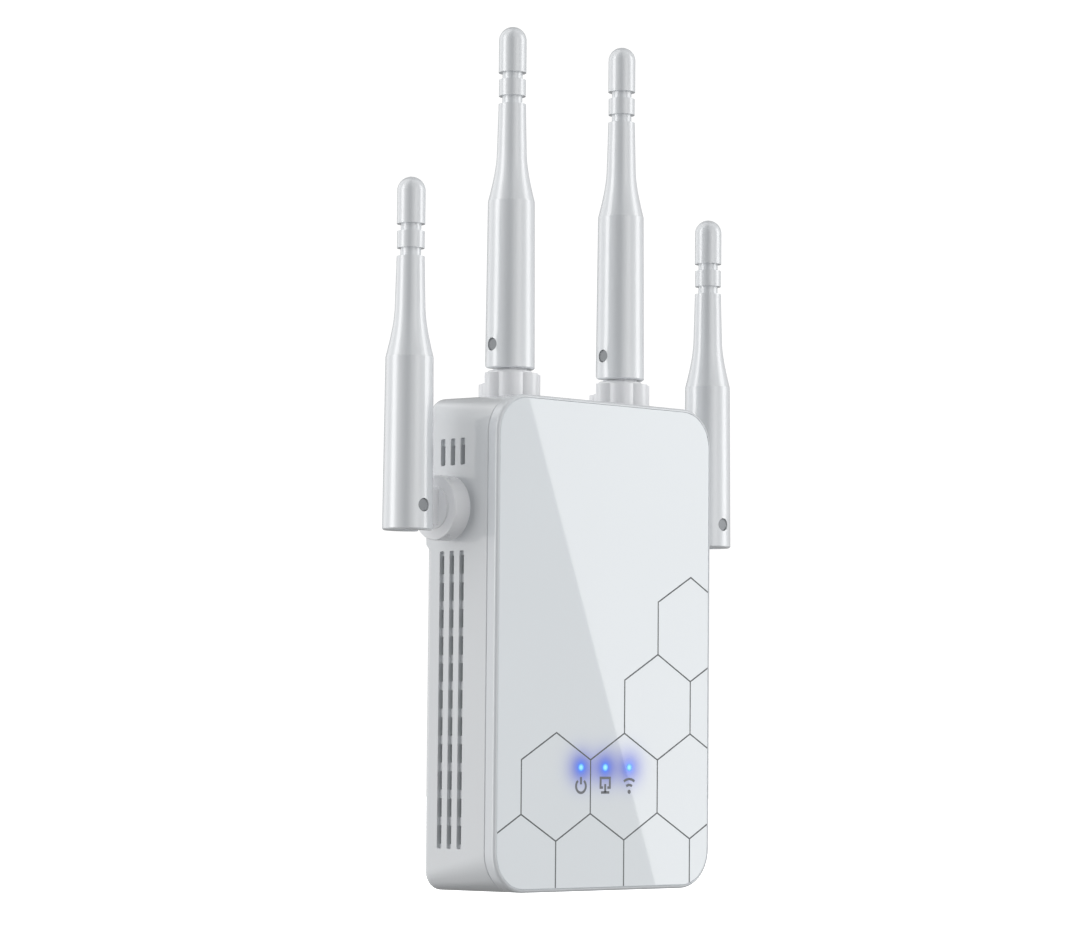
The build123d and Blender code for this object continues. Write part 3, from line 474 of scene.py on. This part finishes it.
def millimetres(*pairs):
    return [Vector(pair) * MM for pair in pairs]


def power_icon(mesh, origin):
    """An open ring with a bar in its gap."""
    add_stroke(mesh, arc(Vector((0, -0.2 * MM)), 1.3 * MM, 128, 412), origin)
    add_stroke(mesh, millimetres((0, 0.15), (0, 1.6)), origin)


def network_icon(mesh, origin):
    """A screen on a stand."""
    screen = ((-0.6, -0.5), (-1.25, -0.5), (-1.25, 1.4), (1.25, 1.4), (1.25, -0.5), (0.6, -0.5))
    add_stroke(mesh, millimetres(*screen), origin)
    add_stroke(mesh, millimetres((0, 0.2), (0, -1.45)), origin)
    add_stroke(mesh, millimetres((-1.1, -1.45), (1.1, -1.45)), origin)


def signal_icon(mesh, origin):
    """A dot with two arcs above it."""
    dot = Vector((0, -1.35 * MM))
    add_dot(mesh, dot, 0.42 * MM, origin)
    for radius in (1.35 * MM, 2.5 * MM):
        add_stroke(mesh, arc(dot, radius, 55, 125), origin)


def make_icon(name, draw, place, material):
    """Draws one icon under a status light, as a thin raised print on the panel."""
    mesh = bmesh.new()
    draw(mesh, Vector((place.x, PANEL_Y, place.z - ICON_DROP)))
    outside = bmesh.ops.extrude_face_region(mesh, geom=mesh.faces[:])
    raised = [item for item in outside["geom"] if isinstance(item, bmesh.types.BMVert)]
    bmesh.ops.translate(mesh, verts=raised, vec=(0, -INK_HEIGHT, 0))
    bmesh.ops.recalc_face_normals(mesh, faces=mesh.faces)
    data = bpy.data.meshes.new(name)
    mesh.to_mesh(data)
    mesh.free()
    data.materials.append(material)
    icon = bpy.data.objects.new(name, data)
    bpy.context.scene.collection.objects.link(icon)
    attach(icon, "casing")


# ---- Studio ----
def turn_to(direction, up):
    """Rotation of a camera or lamp whose view runs along the direction."""
    back = -direction.normalized()
    right = up.cross(back).normalized()
    return Matrix((right, back.cross(right), back)).transposed().to_euler()


def add_camera():
    """The camera, turned to the side, up and a little around its own view."""
    forward = Vector((math.sin(CAMERA_YAW) * math.cos(CAMERA_PITCH),
                      math.cos(CAMERA_YAW) * math.cos(CAMERA_PITCH),
                      math.sin(CAMERA_PITCH)))
    upright = turn_to(forward, UP).to_matrix()
    data = bpy.data.cameras.new("camera")
    data.lens = CAMERA_LENS
    data.sensor_width = SENSOR_WIDTH
    data.sensor_fit = "HORIZONTAL"
    data.clip_start = NEAREST_SEEN
    camera = bpy.data.objects.new("camera", data)
    camera.location = CAMERA_PLACE
    camera.rotation_euler = (upright @ Matrix.Rotation(CAMERA_ROLL, 3, "Z")).to_euler()
    bpy.context.scene.collection.objects.link(camera)
    bpy.context.scene.camera = camera


def add_softbox(name, place, rotation, size, radiance):
    """A rectangular light of even brightness, which the camera itself doesn't see."""
    data = bpy.data.lights.new(name, "AREA")
    data.shape = "RECTANGLE"
    data.size, data.size_y = size
    data.energy = radiance * math.pi * size[0] * size[1]
    lamp = bpy.data.objects.new(name, data)
    lamp.location = place
    lamp.rotation_euler = rotation
    lamp.visible_camera = False
    bpy.context.scene.collection.objects.link(lamp)
    return data


def add_fills():
    """Upright softboxes around the object that light its hollows too."""
    for name, (degrees, width, height, radiance) in FILLS.items():
        angle = math.radians(degrees)
        outward = TO_CAMERA * math.cos(angle) + TO_RIGHT * math.sin(angle)
        rotation = turn_to(-outward, UP)
        data = add_softbox(name, HOUSING_CENTRE + outward, rotation, (width, height), radiance)
        data.use_shadow = False


def add_panel_softbox():
    """The softbox whose straight edge is mirrored as a diagonal line in the glossy panel."""
    mirrored = Vector((CAMERA_PLACE.x, 2 * PANEL_Y - CAMERA_PLACE.y, CAMERA_PLACE.z))
    ends = []
    for x, z in (GLOSS_TOP, GLOSS_BOTTOM):
        seen = Vector((x, PANEL_Y, z))
        ends.append(seen + (seen - mirrored).normalized() * PANEL_SOFTBOX_DISTANCE)
    edge = (ends[0] - ends[1]).normalized()
    middle = (ends[0] + ends[1]) / 2
    inward = (HOUSING_CENTRE - middle).normalized()
    back = -(inward - edge * inward.dot(edge)).normalized()
    right = edge.cross(back)
    rotation = Matrix((right, edge, back)).transposed().to_euler()
    place = middle + right * (PANEL_SOFTBOX_SIZE[0] / 2)
    add_softbox("panel_softbox", place, rotation, PANEL_SOFTBOX_SIZE, PANEL_SOFTBOX_LIGHT)


def add_room():
    """The room's light by direction, dim towards the ground; the camera itself always sees white."""
    world = bpy.data.worlds.new("studio")
    bpy.context.scene.world = world
    world.use_nodes = True
    room = Nodes(world.node_tree)
    direction = room.node("ShaderNodeTexCoord").outputs["Generated"]
    azimuth = room.math("ARCTAN2", room.dot(direction, TO_RIGHT), room.dot(direction, TO_CAMERA))
    full_turn = room.ramp(azimuth, -math.pi, math.pi)
    around = room.node("ShaderNodeValToRGB", {"Fac": full_turn})
    stops = around.color_ramp.elements
    for degrees, _ in ROOM_LIGHT[1:-1]:
        stops.new((degrees + 180) / 360)
    for stop, (degrees, brightness) in zip(stops, ROOM_LIGHT):
        level = brightness / ROOM_PEAK
        stop.color = (level, level, level, 1)
    height = room.node("ShaderNodeSeparateXYZ", {0: direction}).outputs["Z"]
    above_ground = room.ramp(height, *LOW_EDGE, LOW_SHARE * ROOM_PEAK, ROOM_PEAK)
    light = room.math("MULTIPLY", around.outputs["Color"], above_ground)
    seen = room.node("ShaderNodeLightPath").outputs["Is Camera Ray"]
    shown = room.node("ShaderNodeMix", {"Factor": seen, "A": light, "B": BACKDROP}).outputs[0]
    background = room.tree.nodes["Background"]
    room.feed(background.inputs["Color"], (1, 1, 1, 1))
    room.feed(background.inputs["Strength"], shown)


def add_floor():
    """A wide pale floor well below the object, which fades to white in the distance."""
    mesh = bmesh.new()
    bmesh.ops.create_circle(mesh, cap_ends=True, segments=FLOOR_SIDES, radius=FLOOR_RADIUS)
    data = bpy.data.meshes.new("floor")
    mesh.to_mesh(data)
    mesh.free()
    floor = bpy.data.objects.new("floor", data)
    floor.location = (0, 0, cad_box[0][2] - FLOOR_DROP)
    floor.visible_diffuse = False
    floor.visible_glossy = False
    bpy.context.scene.collection.objects.link(floor)
    shader = Shader("floor_paper")
    distance = shader.node("ShaderNodeVectorMath", {0: shader.place}, operation="LENGTH").outputs["Value"]
    grain = shader.noise(2 * MM, 4.0)
    paper = shader.mix(grain, shade(FLOOR_COLOR, 0.99), shade(FLOOR_COLOR, 1.01))
    shader.set(Base_Color=paper, Roughness=0.9)
    shader.set(Emission_Color=(1, 1, 1, 1), Emission_Strength=shader.ramp(distance, *FLOOR_FADE))
    data.materials.append(shader.material)


materials = make_materials()
paint_nodes(materials)
ICONS = {"power_icon": power_icon, "network_icon": network_icon, "signal_icon": signal_icon}
for (icon_name, draw), light in zip(ICONS.items(), LIGHT_PLACES):
    make_icon(icon_name, draw, light, materials["ink"].material)
add_camera()
add_room()
add_fills()
add_panel_softbox()
add_floor()
bpy.context.scene.view_settings.view_transform = "Standard"
